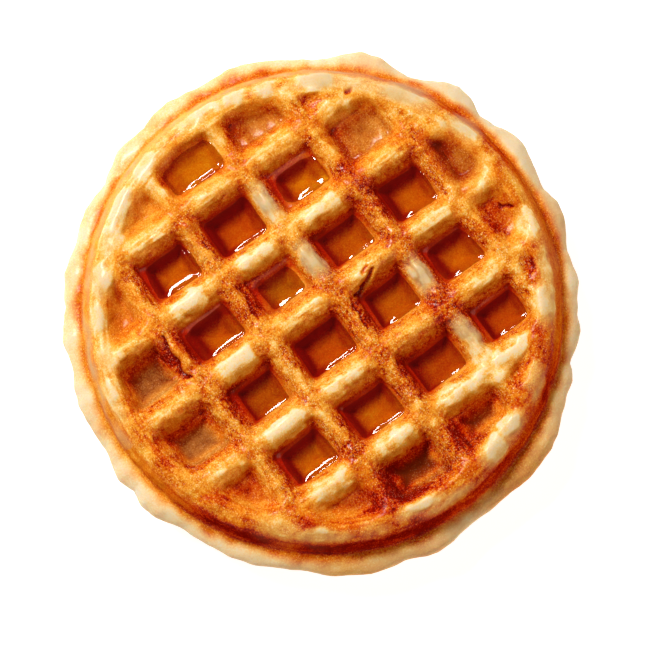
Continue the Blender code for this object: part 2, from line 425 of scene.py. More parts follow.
def surface_nets(axes, field):
    """Points and quads of the surface where the field crosses zero, with one point in each cell."""
    step = axes[0][1] - axes[0][0]
    origin = np.array([axis[0] for axis in axes])
    inside = field < 0
    shape = np.array(field.shape) - 1
    count = np.zeros(shape, np.int8)
    corners = list(itertools.product((0, 1), repeat=3))
    for a, b, c in corners:
        count += inside[a : a + shape[0], b : b + shape[1], c : c + shape[2]]
    active = (count > 0) & (count < 8)
    cells = np.argwhere(active)
    index = np.full(shape, -1, np.int32)
    index[active] = np.arange(len(cells))
    values = {c: field[tuple((cells + c).T)] for c in corners}
    total, crossings = np.zeros((len(cells), 3)), np.zeros(len(cells))
    for start in corners:
        for axis in range(3):
            if start[axis]:
                continue
            end = tuple(1 if k == axis else start[k] for k in range(3))
            a, b = values[start], values[end]
            cut = (a < 0) != (b < 0)
            share = np.where(cut, a / np.where(cut, a - b, 1), 0)
            point = np.array(start) + share[:, None] * (np.arange(3) == axis)
            total += point * cut[:, None]
            crossings += cut
    points = origin + (cells + total / crossings[:, None]) * step
    quads = []
    for axis in range(3):
        second, third = (axis + 1) % 3, (axis + 2) % 3
        low = [slice(None)] * 3
        high = [slice(None)] * 3
        low[axis], high[axis] = slice(0, -1), slice(1, None)
        changes = np.argwhere(inside[tuple(low)] != inside[tuple(high)])
        keep = np.all(changes[:, [second, third]] > 0, axis=1)
        changes = changes[keep]
        ring = []
        for back_second, back_third in ((1, 1), (0, 1), (0, 0), (1, 0)):
            spot = changes.copy()
            spot[:, second] -= back_second
            spot[:, third] -= back_third
            ring.append(index[tuple(spot.T)])
        ring = np.stack(ring, axis=1)
        outward = inside[tuple(changes.T)]
        ring[~outward] = ring[~outward][:, ::-1]
        quads.append(ring)
    return points, np.concatenate(quads)


def sample(axes, field, points):
    """The field at points between the grid's, and its slope there."""
    step = axes[0][1] - axes[0][0]
    spot = (points - np.array([axis[0] for axis in axes])) / step
    base = np.clip(np.floor(spot).astype(int), 0, np.array(field.shape) - 2)
    part = spot - base
    value, slope = np.zeros(len(points)), np.zeros((len(points), 3))
    for corner in itertools.product((0, 1), repeat=3):
        found = field[tuple((base + corner).T)]
        weight = np.where(corner, part, 1 - part)
        value += found * weight.prod(axis=1)
        for axis in range(3):
            others = weight[:, [k for k in range(3) if k != axis]].prod(axis=1)
            slope[:, axis] += found * others * (1 if corner[axis] else -1)
    return value, slope / step


def unit(vectors):
    return vectors / np.maximum(np.linalg.norm(vectors, axis=1), 1e-9)[:, None]


# ---------------------------------------------------------------- how it is baked

def rib_tone(x, y, along_x, along_y, crossings):
    """How browned, with painted shade on the flanks, and how grey the ribs are at each point, and how
    much of it is on ribs along X.
    """
    line_y, past_y = nearest(y, RIBS_Y)
    line_x, past_x = nearest(x, RIBS_X)
    column = along(x, RIBS_X)[0]
    row = along(y, RIBS_Y)[0]
    off_x_rib = np.abs(past_y) / HALF_ALONG_X
    off_y_rib = np.abs(past_x) / HALF_ALONG_Y
    on_x_rib = ease(off_y_rib - off_x_rib, -0.6, 0.6)
    cross = ease(np.maximum(off_x_rib, off_y_rib), 2.5, 0.8)
    first = np.array(along_x)[line_y, column] / 100
    second = np.array(along_y)[line_x, row] / 100
    first = 0.01 + 1.02 * first
    crest = 1.5 - 3.5 * np.clip(first, 0, 0.3)
    off = np.abs(past_y + 1.1 - 2.5 * np.clip(first, 0, 0.36))
    # Painted shade: below a cream crest, ribs along X turn golden and browner down their flanks, more
    # on their +Y flank.
    first = first + np.maximum(0.44 - first, 0) * ease(off - crest, 0, 3.3 - crest)
    first = first + 0.04 * ease(-past_y, 1.8, 3.8) + 0.14 * ease(past_y, 1.8, 3.4)
    off = past_x + 0.7
    # Painted shade: ribs along Y turn browner down their flanks, most on the +X flank, which faces
    # away from the key light.
    second = second + np.maximum(0.50 - second, 0) * ease(np.abs(off), 1.0, 2.1)
    second = second - 0.03 + 0.26 * ease(off, 0.8, 3.0) + 0.12 * ease(-off, 0.8, 3.0)
    tone = first * on_x_rib + second * (1 - on_x_rib)
    tone = tone * (1 - cross) + np.array(crossings)[line_y, line_x] / 100 * cross
    raw = np.zeros(np.array(along_y).shape)
    for spot in GREYISH:
        raw[spot] = 1
    grey = raw[line_x, row] * (1 - on_x_rib) * (1 - cross) * ease(np.abs(past_x), 2.2, 1.2)
    return tone, grey, on_x_rib


def marks_at(x, y, upper):
    """How far the marks raise the crust at each point, how much they brown it and how wet they are."""
    total = np.zeros((3, len(x)))
    for line, half_width, *effects in MARKS:
        away = np.full(len(x), 99.0)
        for (x0, y0), (x1, y1) in zip(line, line[1:]):
            along_x, along_y = x1 - x0, y1 - y0
            share = ((x - x0) * along_x + (y - y0) * along_y) / (along_x**2 + along_y**2)
            share = np.clip(share, 0, 1)
            away = np.minimum(away, np.hypot(x - x0 - share * along_x, y - y0 - share * along_y))
        near = np.exp(-((away / half_width) ** 2)) * upper
        total += np.array(effects)[:, None] * near
    return total


def rim_tone(table, degrees):
    """A value of one of the rim's tables at each angle, from 0 to 1."""
    return np.interp(degrees, *np.array(table).T, period=360) / 100


def ring_paleness(x, y):
    """How pale the rim ring is at each point, from 0 to 1."""
    radius = np.hypot(x, y) / oval(np.arctan2(y, x))
    degrees = np.degrees(np.arctan2(y, x))
    total = np.zeros(len(x))
    for angle, half_angle, middle, half_width, paleness in PALE_RING:
        turned = (degrees - angle + 180) % 360 - 180
        away = np.hypot(turned / half_angle, (radius - middle) / half_width)
        total = np.maximum(total, paleness / 9 * ease(away, 1.75, 0.45))
    return total


class Spots:
    """Where each point of the crust lies on the waffle, with the noises that its looks share."""

    def __init__(self, points):
        x, y, z = points.T
        self.angle = np.arctan2(y, x)
        self.radius = np.hypot(x, y) / oval(self.angle)
        self.upper = z > THICKNESS / 2
        self.deep = np.where(self.upper, THICKNESS - z, z)
        self.x, self.y = bend(x, y)
        self.past_x = nearest(self.x, RIBS_X)[1]
        self.past_y = nearest(self.y, RIBS_Y)[1]

        self.coarse = noise(points, 9.0, 1)
        self.medium = noise(points, 3.6, 2)
        self.small = noise(points, 1.7, 4)
        fine = noise(points, 0.9, 3)
        self.crack = 1 - np.clip(np.abs(noise(points, 2.4, 6)) * 4.5, 0, 1)
        self.fibre_x = noise(points * (0.3, 1.5, 0.3), 1.0, 31)
        self.fibre_y = noise(points * (1.5, 0.3, 0.3), 1.0, 32)
        turns = np.stack([self.radius * 1.6, self.angle * 9, z * 0.8], axis=1)
        self.streak = noise(turns, 1.0, 8)
        medium_y, small_y = noise(points, 3.4, 5), noise(points, 1.6, 7)
        self.warped_x = self.x + 0.8 * self.medium + 0.25 * self.small + 0.1 * fine
        self.warped_y = self.y + 0.8 * medium_y + 0.25 * small_y + 0.1 * fine
        self.turned_y = np.where(self.upper, 1, -1) * self.warped_y  # the lower face is turned over
        self.degrees = np.degrees(np.arctan2(self.turned_y, self.warped_x))

        # How far each point is on the rim ring, the skirt, a pocket's wall and the disc's side.
        self.ring = ease(self.radius, 43.0, 46.0)
        self.skirt = ease(self.radius, 50.7, 51.8) * ease(np.abs(z - SEAM_HEIGHT), 5.5, 3.5)
        self.wall = ease(self.deep, 1.8, 4.2) * ease(self.radius, 49.0, 46.5)
        self.side = ease(self.deep, 0.7, 2.6) * ease(self.radius, 48.9, 50.0) * (1 - self.skirt)

        # How far each point is toward the side away from the key light, where the rim gets painted
        # shade, and toward the lit side.
        self.shaded = 0.5 + 0.5 * np.cos(self.angle - math.radians(SHADED_SIDE))
        self.lit_rim = ease(np.abs(self.degrees - LIT_SIDE), 90, 50)
        self.shaded_rim = ease(self.shaded, 0.60, 0.90)


def face_tone(s):
    """How browned and grey ribs and ring are at each spot, with painted shade on the ring's shaded
    side, and how much of it is on ribs along X.
    """
    rng = np.random.default_rng(5)
    under = [rng.integers(10, 75, shape) for shape in ((5, 6), (5, 6), (5, 5))]
    tone, grey, on_x_rib = rib_tone(s.warped_x, s.warped_y, TONE_ALONG_X, TONE_ALONG_Y, TONE_CROSSING)
    low_tone, low_grey, _ = rib_tone(s.warped_x, s.warped_y, *under)
    tone, grey = np.where(s.upper, tone, low_tone), np.where(s.upper, grey, 0.5 * low_grey)
    streaky = ease(np.cos(s.angle - math.radians(STREAKY_SIDE)), 0.60, 0.85)
    # Painted shade: the ring is browner toward the side away from the key light.
    ring_bake = 0.34 + 0.36 * s.shaded + 0.15 * streaky + 0.12 * s.coarse
    ring_bake = ring_bake + (0.16 + 0.08 * streaky) * s.streak
    tone = tone * (1 - s.ring) + ring_bake * s.ring
    pale = ring_paleness(s.warped_x, s.turned_y)
    tone = tone * (1 - pale) + (0.10 + 0.06 * s.medium) * pale
    fibre = s.fibre_x * on_x_rib + s.fibre_y * (1 - on_x_rib)
    fibre = (0.03 + 0.07 * ease(tone, 0.02, 0.30)) * fibre * (1 - s.ring)
    tone += 0.06 * s.coarse + 0.10 * s.medium + 0.07 * s.small + fibre
    # Greyer pale lobes on the ring: painted shade on the beige side and the shaded side, and greyer
    # toward the key light too.
    beige = ease(np.abs(s.degrees - BEIGE_SIDE), 34, 16)
    beige = np.maximum(beige, np.maximum(0.55 * s.lit_rim, 0.7 * s.shaded_rim))
    beige *= 1 - s.shaded_rim * ease(s.radius, 48.6, 49.8)
    grey = np.maximum(grey, pale * beige * ease(s.radius, 45.0, 47.0))
    return tone, grey, on_x_rib


def skirt_tone(s, side_tone):
    """How browned the skirt is at each spot, and how far each spot is on its pale lip."""
    mean_tone = rim_tone(SKIRT_TONE, s.degrees)
    edge = mean_tone + 0.06 * s.coarse + 0.08 * s.medium + 0.06 * s.small
    edge = edge + np.maximum(side_tone - edge, 0) * ease(s.radius, 52.0, 50.8)
    lip_edge = 53.0 + 0.9 * ease(mean_tone, 0.50, 0.70) + 0.4 * s.coarse + 0.6 * s.medium
    lip = ease(s.radius, lip_edge - 1.3, lip_edge + 0.9)
    lip_tone = rim_tone(LIP_TONE, s.degrees) + 0.10 * s.coarse + 0.12 * s.medium
    return edge * (1 - lip) + lip_tone * lip, lip


def dress_pockets(s, looks, shaded_walls):
    """Changes the looks in each upper pocket: walls, floor, film of syrup and waterline, with painted
    shade on the walls and a painted shadow on the floor.
    """
    bake_and_shade, grain, wet = looks["bake_and_shade"], looks["grain"], looks["wet"]
    for name, (depth, level, _, soft, milky, floor) in POCKETS.items():
        mid_x, mid_y, half_x, half_y = cell(name)
        own = (np.abs(s.x - mid_x) < half_x) & (np.abs(s.y - mid_y) < half_y)
        own &= s.upper & (s.radius < POCKETS_END)
        at = s.deep[own]
        share_x, share_y = (mid_x - s.x[own]) / half_x, (mid_y - s.y[own]) / half_y
        pan = ease(at, depth - 1.8 - 1.5 * soft, depth - 0.1)
        toward_light = ease(share_y, 0.25, 0.55)
        bake_and_shade[own] -= 0.34 * soft * s.wall[own]
        looks["less_painted_shade"][own] = 0.4 * soft
        if level is not None:
            # Near the waterline syrup soaks the crust darker; on walls facing away from the key light
            # it is painted far darker, as shade.
            soaked = ease(at, level - 1.6, level + 0.2) * (1 - pan) * (1 - soft)
            looks["soak_and_shade"][own] = soaked * (0.15 + 0.85 * shaded_walls[own])
            wet[own] = ease(at, level - 1.6, level - 0.6) * ease(at, level + 0.4, level)
            looks["calm"][own] = ease(at, level - 1.8, level - 0.5)
        # Painted shadow: each floor is browner on its +Y and -X sides, under the walls that block the
        # key light.
        floor_shadow = 0.24 * ease(-share_y, -0.05, 0.45) + 0.16 * ease(share_x, 0.1, 0.5)
        floor_tone = floor / 100 + floor_shadow + 0.06 * s.medium[own]
        bake_and_shade[own] = bake_and_shade[own] * (1 - pan) + floor_tone * pan
        # Milky murk on the floor, and on the wall that faces the key light; on dimples and shaded
        # floors the darker murk is also painted shade.
        looks["milk_and_shade"][own] = np.maximum(pan, 0.8 * s.wall[own] * toward_light) * milky / 9
        foot = toward_light * ease(at, depth - 2.8, depth - 1.6) * ease(at, depth, depth - 0.8)
        wet[own] = np.maximum(wet[own], 2.0 * foot * milky / 9)
        grain[own] *= (1 - (0.7 - 0.5 * soft) * pan) * (1 - 0.6 * soft)


def crust_looks(points):
    """The crust's looks at each point, each from 0 to 1, and how far marks raise it.

    bake, grain, wet, lip, soak, milk and grey are for the material: how browned and grainy the crust
    is, with painted shade in the browning, how much it shines, how far it is the skirt's dry lip, how
    far syrup darkens it, with painted shade on walls facing away from the key light, how milky it is,
    the murk partly painted shade, and how grey, partly painted shade. puff, raised and calm are for
    its shape: where pale batter swells, how far marks stand up and where it is smooth. even says
    where the painted shade from facing away from the key light and from hollows is weaker.
    """
    s = Spots(points)
    tone, grey, on_x_rib = face_tone(s)
    # Painted shade and light on the pockets' walls: walls facing away from the key light, toward -Y
    # and toward +X, are browner, and walls facing it, toward +Y, lighter.
    away_from_light = ease(-s.past_y, -0.5, 2.5) * ease(-s.past_y, 8.0, 5.5)
    turned_from_light = ease(s.past_x, 0.5, 2.5) * ease(s.past_x, 8.0, 5.0)
    in_light = ease(s.past_y, 0.5, 2.5) * ease(s.past_y, 8.0, 5.0)
    wall_tone_and_shade = 0.60 + 0.16 * away_from_light + 0.26 * turned_from_light + 0.05 * s.medium
    wall_tone_and_shade = wall_tone_and_shade - 0.20 * in_light
    side_tone = rim_tone(SIDE_TONE, s.degrees)
    rim, lip = skirt_tone(s, side_tone)
    bake_and_shade = tone * (1 - s.wall) + wall_tone_and_shade * s.wall
    # The rim's side takes its table's tone: browning, and painted shade away from the key light.
    bake_and_shade = bake_and_shade * (1 - s.side) + (side_tone + 0.06 * s.coarse + 0.10 * s.streak) * s.side
    bake_and_shade = bake_and_shade * (1 - s.skirt) + rim * s.skirt
    # Painted shade: the skirt's outer part is greyer on the shaded side and the dull side. The rim's
    # side is greyer toward the key light.
    dull = np.maximum(0.40 * s.shaded_rim, 0.60 * ease(np.abs(s.degrees - DULL_SIDE), 45, 25))
    grey = np.maximum(grey, dull * ease(s.radius, 52.2, 54.0))
    grey = np.maximum(grey, s.side * s.lit_rim * np.clip(0.45 + 0.5 * s.medium + 0.3 * s.streak, 0, 1))
    grain = np.clip((bake_and_shade - 0.12) * 2.4, 0.08, 1) * (1 - 0.45 * s.skirt) * (1 - 0.6 * s.wall)
    grain *= (1 - 0.8 * s.side) * (1 - 0.5 * s.ring) * (1 - 0.35 * on_x_rib * (1 - s.ring))
    grain *= 1 + 0.3 * s.medium

    looks = {"bake_and_shade": bake_and_shade, "grain": grain, "grey": grey}
    looks.update({key: np.zeros(len(points)) for key in ("wet", "soak_and_shade", "milk_and_shade", "calm", "less_painted_shade")})
    dress_pockets(s, looks, np.maximum(away_from_light, turned_from_light))
    bake_and_shade = looks["bake_and_shade"] + 0.16 * s.crack * grain * (1 - s.skirt)
    grain *= (1 - 0.8 * looks["calm"]) * (1 - 0.6 * ease(bake_and_shade, 0.70, 0.95))
    raised, browner, wetter = marks_at(s.warped_x, s.warped_y, s.upper)
    bake_and_shade = bake_and_shade + browner
    coat = (0.15 + 0.2 * ease(bake_and_shade, 0.30, 0.05)) * (1 - np.maximum(s.wall, s.side))
    looks["bake_and_shade"] = np.clip(bake_and_shade, 0, 1)
    looks["grain"] = np.clip(grain, 0.05, 1)
    looks["wet"] = np.clip(0.4 * np.maximum(looks["wet"], wetter) + coat, 0, 1)
    looks["lip"] = lip * s.skirt * ease(rim_tone(LIP_TONE, s.degrees), 0.40, 0.08)
    looks["puff"] = ease(bake_and_shade, 0.30, 0.05) * (1 - s.skirt)
    looks["less_painted_shade"] = np.maximum(0.6 * np.maximum(s.skirt, s.side), looks["less_painted_shade"])
    looks["raised"] = raised
    return looks


def mesh_object(name, points, faces, material, looks):
    """A smooth object from points in millimetres, with float attributes."""
    mesh = bpy.data.meshes.new(name)
    mesh.vertices.add(len(points))
    mesh.vertices.foreach_set("co", (points * MM).astype(np.float32).ravel())
    mesh.loops.add(faces.size)
    mesh.loops.foreach_set("vertex_index", faces.astype(np.int32).ravel())
    mesh.polygons.add(len(faces))
    mesh.polygons.foreach_set("loop_start", np.arange(0, faces.size, faces.shape[1], dtype=np.int32))
    mesh.update(calc_edges=True)
    mesh.shade_smooth()
    for key, values in looks.items():
        layer = mesh.attributes.new(key, "FLOAT", "POINT")
        layer.data.foreach_set("value", values.astype(np.float32))
    mesh.materials.append(material)
    thing = bpy.data.objects.new(name, mesh)
    bpy.context.collection.objects.link(thing)
    return thing


def corner_sums(quads, values, steps, count):
    """At each vertex, the values of the vertices these steps round its quads, added up."""
    total = np.zeros((count, 3))
    for corner, axis in itertools.product(range(4), range(3)):
        for step in steps:
            there = values[quads[:, (corner + step) % 4], axis]
            total[:, axis] += np.bincount(quads[:, corner], there, count)
    return total


def vertex_normals(points, quads):
    a, b, c, d = (points[quads[:, k]] for k in range(4))
    facing = np.cross(c - a, d - b)
    total = np.zeros(points.shape)
    for corner, axis in itertools.product(range(4), range(3)):
        total[:, axis] += np.bincount(quads[:, corner], facing[:, axis], len(points))
    return unit(total)


def smoothed(points, quads, rounds):
    """The points, each moved to the mean of its neighbours a number of times."""
    ones = corner_sums(quads, np.ones(points.shape), (1, 3), len(points))
    for _ in range(rounds):
        points = corner_sums(quads, points, (1, 3), len(points)) / ones
    return points


def bumps(points, table):
    return sum(height * noise(points, size, seed) for height, size, seed in table)


def add_crust(axes, field, material):
    """The crust: the field's surface, made uneven, with painted shade where it faces away from the
    key light and in hollows.
    """
    points, quads = surface_nets(axes, field)
    for _ in range(2):
        value, slope = sample(axes, field, points)
        steep = np.maximum((slope * slope).sum(axis=1), 0.25)
        points = points - 0.8 * slope * (value / steep)[:, None]
    normals = unit(sample(axes, field, points)[1])
    looks = crust_looks(points)
    lift = bumps(points, LUMPS)
    lift += 0.25 * looks.pop("puff") + looks.pop("raised")
    lift += looks["grain"] * bumps(points, GRAINS)
    lift *= 1 - 0.85 * looks.pop("calm")
    points = points + normals * lift[:, None]
    points[:, 2] = np.maximum(points[:, 2], LOWEST)
    normals = vertex_normals(points, quads)
    outward = np.where(points[:, 2] > THICKNESS / 2, normals[:, 2], -normals[:, 2])
    lit = normals[:, 0] * LIGHT_WAY[0] + normals[:, 1] * LIGHT_WAY[1] + outward * LIGHT_WAY[2]
    # Painted shade: browner where the crust faces away from the key light and in hollows, lighter on
    # bumps.
    hollow = ((smoothed(points, quads, 4) - points) * normals).sum(axis=1)
    shade = 0.38 * ease(lit, 0.72, 0.08) * (1 - looks["bake_and_shade"])
    shade = shade + np.clip(1.8 * hollow, -0.10, 0.12)
    # Painted shade: grains, sugar glints and bumps are fainter where the crust faces away from the key
    # light.
    looks["grain"] *= 0.3 + 0.7 * ease(lit, 0.15, 0.70)
    looks["bake_and_shade"] = np.clip(looks["bake_and_shade"] + shade * (1 - looks.pop("less_painted_shade")), 0, 1)
    return mesh_object("waffle_crust", points, quads, material, looks)


# ---------------------------------------------------------------- syrup

# Each pool: how far its surface climbs the crust, over what width, and how dark its syrup is.
POOLS = {
    "b2": (0.80, 0.80, 0.30),
    "b3": (0.25, 0.35, 0.30),
    "b4": (0.65, 0.60, 0.40),
    "b5": (0.85, 0.80, 0.40),
    "c2": (0.50, 0.50, 0.35),
    "c3": (0.50, 0.50, 0.60),
    "c4": (0.40, 0.45, 0.20),
    "c5": (0.50, 0.50, 0.65),
    "c6": (0.60, 0.80, 0.20),
    "d2": (0.25, 0.35, 0.50),
    "d3": (0.55, 0.60, 0.40),
    "d4": (0.30, 0.40, 0.25),
    "d5": (0.60, 0.60, 0.10),
    "e2": (0.60, 0.60, 0.60),
    "e3": (0.55, 0.55, 0.40),
    "e4": (0.65, 0.60, 0.40),
}
POOL_STEP = 0.25
POOL_REACH = 0.5  # how far a pool goes into the crust around it
POOL_FOOT = 0.5  # how far it goes into the floor under it
THIN = 2.3  # a pool less deep than this lies over the floor's unevenness


def grid_block(inside, tops, bottoms, xs, ys):
    """A closed mesh over the cells of a grid whose corners are all inside: points and quads."""
    cells = inside[:-1, :-1] & inside[1:, :-1] & inside[1:, 1:] & inside[:-1, 1:]
    used = np.zeros(inside.shape, bool)
    for i, j in itertools.product((0, 1), repeat=2):
        used[i : i + cells.shape[0], j : j + cells.shape[1]] |= cells
    index = np.full(inside.shape, -1)
    index[used] = np.arange(used.sum())
    px, py = np.meshgrid(xs, ys, indexing="ij")
    top = np.stack([px[used], py[used], tops[used]], axis=1)
    bottom = np.stack([px[used], py[used], bottoms[used]], axis=1)
    count = len(top)
    i, j = np.nonzero(cells)
    quads = np.stack([index[i, j], index[i + 1, j], index[i + 1, j + 1], index[i, j + 1]], axis=1)
    faces = [quads, quads[:, ::-1] + count]
    edges = np.concatenate([quads[:, [k, (k + 1) % 4]] for k in range(4)])
    code = edges[:, 0] * count + edges[:, 1]
    back = edges[:, 1] * count + edges[:, 0]
    rim = edges[~np.isin(code, back)]
    faces.append(np.stack([rim[:, 1], rim[:, 0], rim[:, 0] + count, rim[:, 1] + count], axis=1))
    return np.concatenate([top, bottom]), np.concatenate(faces)


def pool_mesh(name, axes, field):
    """One pool's points, quads and looks."""
    depth, level = POCKETS[name][:2]
    climb, width, dark = POOLS[name]
    mid_x, mid_y, half_x, half_y = cell(name)
    xs = np.arange(mid_x - half_x, mid_x + half_x, POOL_STEP)
    ys = np.arange(mid_y - half_y, mid_y + half_y, POOL_STEP)
    px, py = np.meshgrid(xs, ys, indexing="ij")
    height = THICKNESS - level
    flat = np.stack([px.ravel(), py.ravel(), np.full(px.size, height + 0.45 * climb)], axis=1)
    away = sample(axes, field, flat)[0].reshape(px.shape)
    ripple = noise(flat, 2.6, 61).reshape(px.shape)
    thin = depth - level < THIN
    uneven = np.clip(1.0 + 0.3 * noise(flat, 5.0, 62).reshape(px.shape), 0.7, 1.2)
    uneven *= 1 - 0.75 * ease((py - mid_y) / half_y, 0.0, 0.4)
    uneven *= 1 - 0.7 * ease((mid_x - px) / half_x, 0.1, 0.4)
    tops = height + climb * uneven * np.exp(-np.maximum(away, 0) / width)
    tops = tops + (0.04 if thin else 0.015) * ripple
    bottoms = np.full(px.shape, THICKNESS - depth - POOL_FOOT)
    inside = (away > -POOL_REACH) & (np.hypot(px, py) < RING_INNER_RADIUS + 1)
    points, faces = grid_block(inside, tops, bottoms, xs, ys)
    return points, faces, np.full(len(points), dark)


def add_syrup(axes, field, material):
    parts = [pool_mesh(name, axes, field) for name in POOLS]
    points = np.concatenate([part[0] for part in parts])
    starts = np.cumsum([0] + [len(part[0]) for part in parts])
    faces = np.concatenate([part[1] + start for part, start in zip(parts, starts)])
    looks = {"dark": np.concatenate([part[2] for part in parts])}
    return mesh_object("syrup_pools", points, faces, material, looks)


# ---------------------------------------------------------------- materials

class Nodes:
    """A material's nodes, made and linked by name."""

    def __init__(self, name):
        self.material = bpy.data.materials.new(name)
        self.material.use_nodes = True
        self.tree = self.material.node_tree
        self.tree.nodes.clear()

    def add(self, kind, settings=None, **inputs):
        node = self.tree.nodes.new(kind)
        for key, value in (settings or {}).items():
            setattr(node, key, value)
        for key, value in inputs.items():
            self.feed(node, key.replace("_", " "), value)
        return node

    def feed(self, node, key, value):
        socket = node.inputs[int(key)] if key.isdigit() else node.inputs[key]
        if isinstance(value, bpy.types.NodeSocket):
            self.tree.links.new(value, socket)
        else:
            socket.default_value = value

    def math(self, operation, a, b=0.0, clamp=False):
        node = self.tree.nodes.new("ShaderNodeMath")
        node.operation = operation
        node.use_clamp = clamp
        self.feed(node, "0", a)
        self.feed(node, "1", b)
        return node.outputs[0]

    def attribute(self, name):
        return self.add("ShaderNodeAttribute", {"attribute_name": name}).outputs["Fac"]

    def ramp(self, factor, stops):
        node = self.add("ShaderNodeValToRGB", Fac=factor)
        points = node.color_ramp.elements
        while len(points) < len(stops):
            points.new(0.5)
        for point, (place, colour) in zip(points, stops):
            point.position = place
            point.color = (*colour, 1.0)
        return node.outputs["Color"]

    def mix(self, factor, a, b):
        """Two colours mixed."""
        node = self.add("ShaderNodeMix", {"data_type": "RGBA"})
        self.feed(node, "0", factor)
        self.feed(node, "6", a)
        self.feed(node, "7", b)
        return node.outputs[2]


# The crust's colours by how far it is browned, and those of a floor under a milky film, which also
# paint shade in dimples and on shaded floors.
CRUST_COLOURS = (
    (0.00, (0.87, 0.71, 0.47)),
    (0.14, (0.93, 0.635, 0.24)),
    (0.32, (0.88, 0.41, 0.045)),
    (0.56, (0.73, 0.195, 0.006)),
    (0.78, (0.58, 0.055, 0.0010)),
    (0.90, (0.41, 0.011, 0.0005)),
    (1.00, (0.19, 0.003, 0.0003)),
)
MURK_COLOURS = (
    (0.15, (0.60, 0.38, 0.16)),
    (0.45, (0.39, 0.135, 0.028)),
    (0.80, (0.155, 0.019, 0.002)),
)
# Grey of raw batter, also used as painted shade on the ring's lobes and the skirt.
GREY_BATTER_AND_SHADE = (0.58, 0.41, 0.21, 1)
DRY_LIP = (0.76, 0.64, 0.46, 1)
# Dark red of syrup-soaked crust, also used as painted shade on walls facing away from the key light.
SOAK_AND_SHADE = (0.40, 0.010, 0.0005, 1)
# Pale sugar grains, also used as painted glints.
SUGAR_AND_GLINT = (1.0, 0.88, 0.62, 1)
# Clear syrup and dark syrup: as they tint what is seen through them, and the light that passes.
CLEAR_TINT, DARK_TINT = (0.46, 0.33, 0.006, 1), (0.33, 0.05, 0.001, 1)
CLEAR_LIGHT, DARK_LIGHT = (0.84, 0.63, 0.09, 1), (0.72, 0.25, 0.03, 1)


def crust_material():
    """Browned crust, its browning holding painted shade, with speckles, blotches, grains of sugar that
    are also painted glints, and a film of syrup where wet.
    """
    n = Nodes("crust")
    where = n.add("ShaderNodeTexCoord").outputs["Object"]
    grain = n.attribute("grain")
    speckle = n.add("ShaderNodeTexNoise", Vector=where, Scale=2600.0, Detail=3.0, Roughness=0.6)
    blotch = n.add("ShaderNodeTexNoise", Vector=where, Scale=600.0, Detail=4.0, Roughness=0.65)
    crystal = n.add("ShaderNodeTexVoronoi", Vector=where, Scale=2700.0)
    speckle, blotch = speckle.outputs["Fac"], blotch.outputs["Fac"]
    speckle = n.math("SUBTRACT", speckle, 0.5)
    strong = n.math("ADD", n.math("MULTIPLY", grain, 0.65), 0.35)
    dot = n.math("MULTIPLY", n.math("SUBTRACT", 0.44, crystal.outputs["Distance"]), 7.0, clamp=True)
    bright = n.add("ShaderNodeSeparateColor", Color=crystal.outputs["Color"]).outputs[0]
    bright = n.math("MULTIPLY", n.math("SUBTRACT", bright, 0.25), 1.8, clamp=True)
    dot = n.math("MULTIPLY", dot, bright)
    shift = n.math("SUBTRACT", n.math("MULTIPLY", speckle, 1.5), n.math("MULTIPLY", dot, 0.28))
    shift = n.math("MULTIPLY", n.math("ADD", shift, 0.06), strong)
    more = n.math("MULTIPLY", n.math("SUBTRACT", blotch, 0.5), 0.26)
    level = n.math("ADD", n.math("ADD", n.attribute("bake_and_shade"), shift), more, clamp=True)
    colour = n.ramp(level, CRUST_COLOURS)
    colour = n.mix(n.math("MULTIPLY", n.attribute("grey"), 0.75), colour, GREY_BATTER_AND_SHADE)
    colour = n.mix(n.math("MULTIPLY", n.attribute("lip"), 0.55), colour, DRY_LIP)
    # Milky murk, which also paints shade in dimples and on shaded floors.
    murk = n.ramp(level, MURK_COLOURS)
    colour = n.mix(n.math("MULTIPLY", n.attribute("milk_and_shade"), 0.95), colour, murk)
    # Syrup-soaked crust, with painted shade on walls facing away from the key light.
    colour = n.mix(n.math("MULTIPLY", n.attribute("soak_and_shade"), 0.9), colour, SOAK_AND_SHADE)
    # Painted glints: pale sugar dots, fewer where the crust faces away from the key light.
    pale = n.math("MULTIPLY", dot, n.math("MULTIPLY", grain, 0.25))
    colour = n.mix(pale, colour, SUGAR_AND_GLINT)
    height = n.math("ADD", n.math("MULTIPLY", speckle, 1.2), n.math("MULTIPLY", blotch, 1.2))
    height = n.math("ADD", height, n.math("MULTIPLY", dot, 0.5))
    bump = n.add("ShaderNodeBump", Height=height, Strength=strong, Distance=0.28 * MM)
    glint = n.math("MULTIPLY", n.math("MULTIPLY", dot, grain), 0.25)
    shader = n.add(
        "ShaderNodeBsdfPrincipled",
        Base_Color=colour,
        Roughness=0.55,
        Specular_IOR_Level=0.0,
        Normal=bump.outputs["Normal"],
        Subsurface_Weight=0.3,
        Subsurface_Scale=1.5 * MM,
        Subsurface_Radius=(1.0, 0.35, 0.10),
        Coat_Weight=n.math("ADD", n.attribute("wet"), glint),
        Coat_Roughness=0.22,
    )
    n.add("ShaderNodeOutputMaterial", Surface=shader.outputs[0])
    return n.material


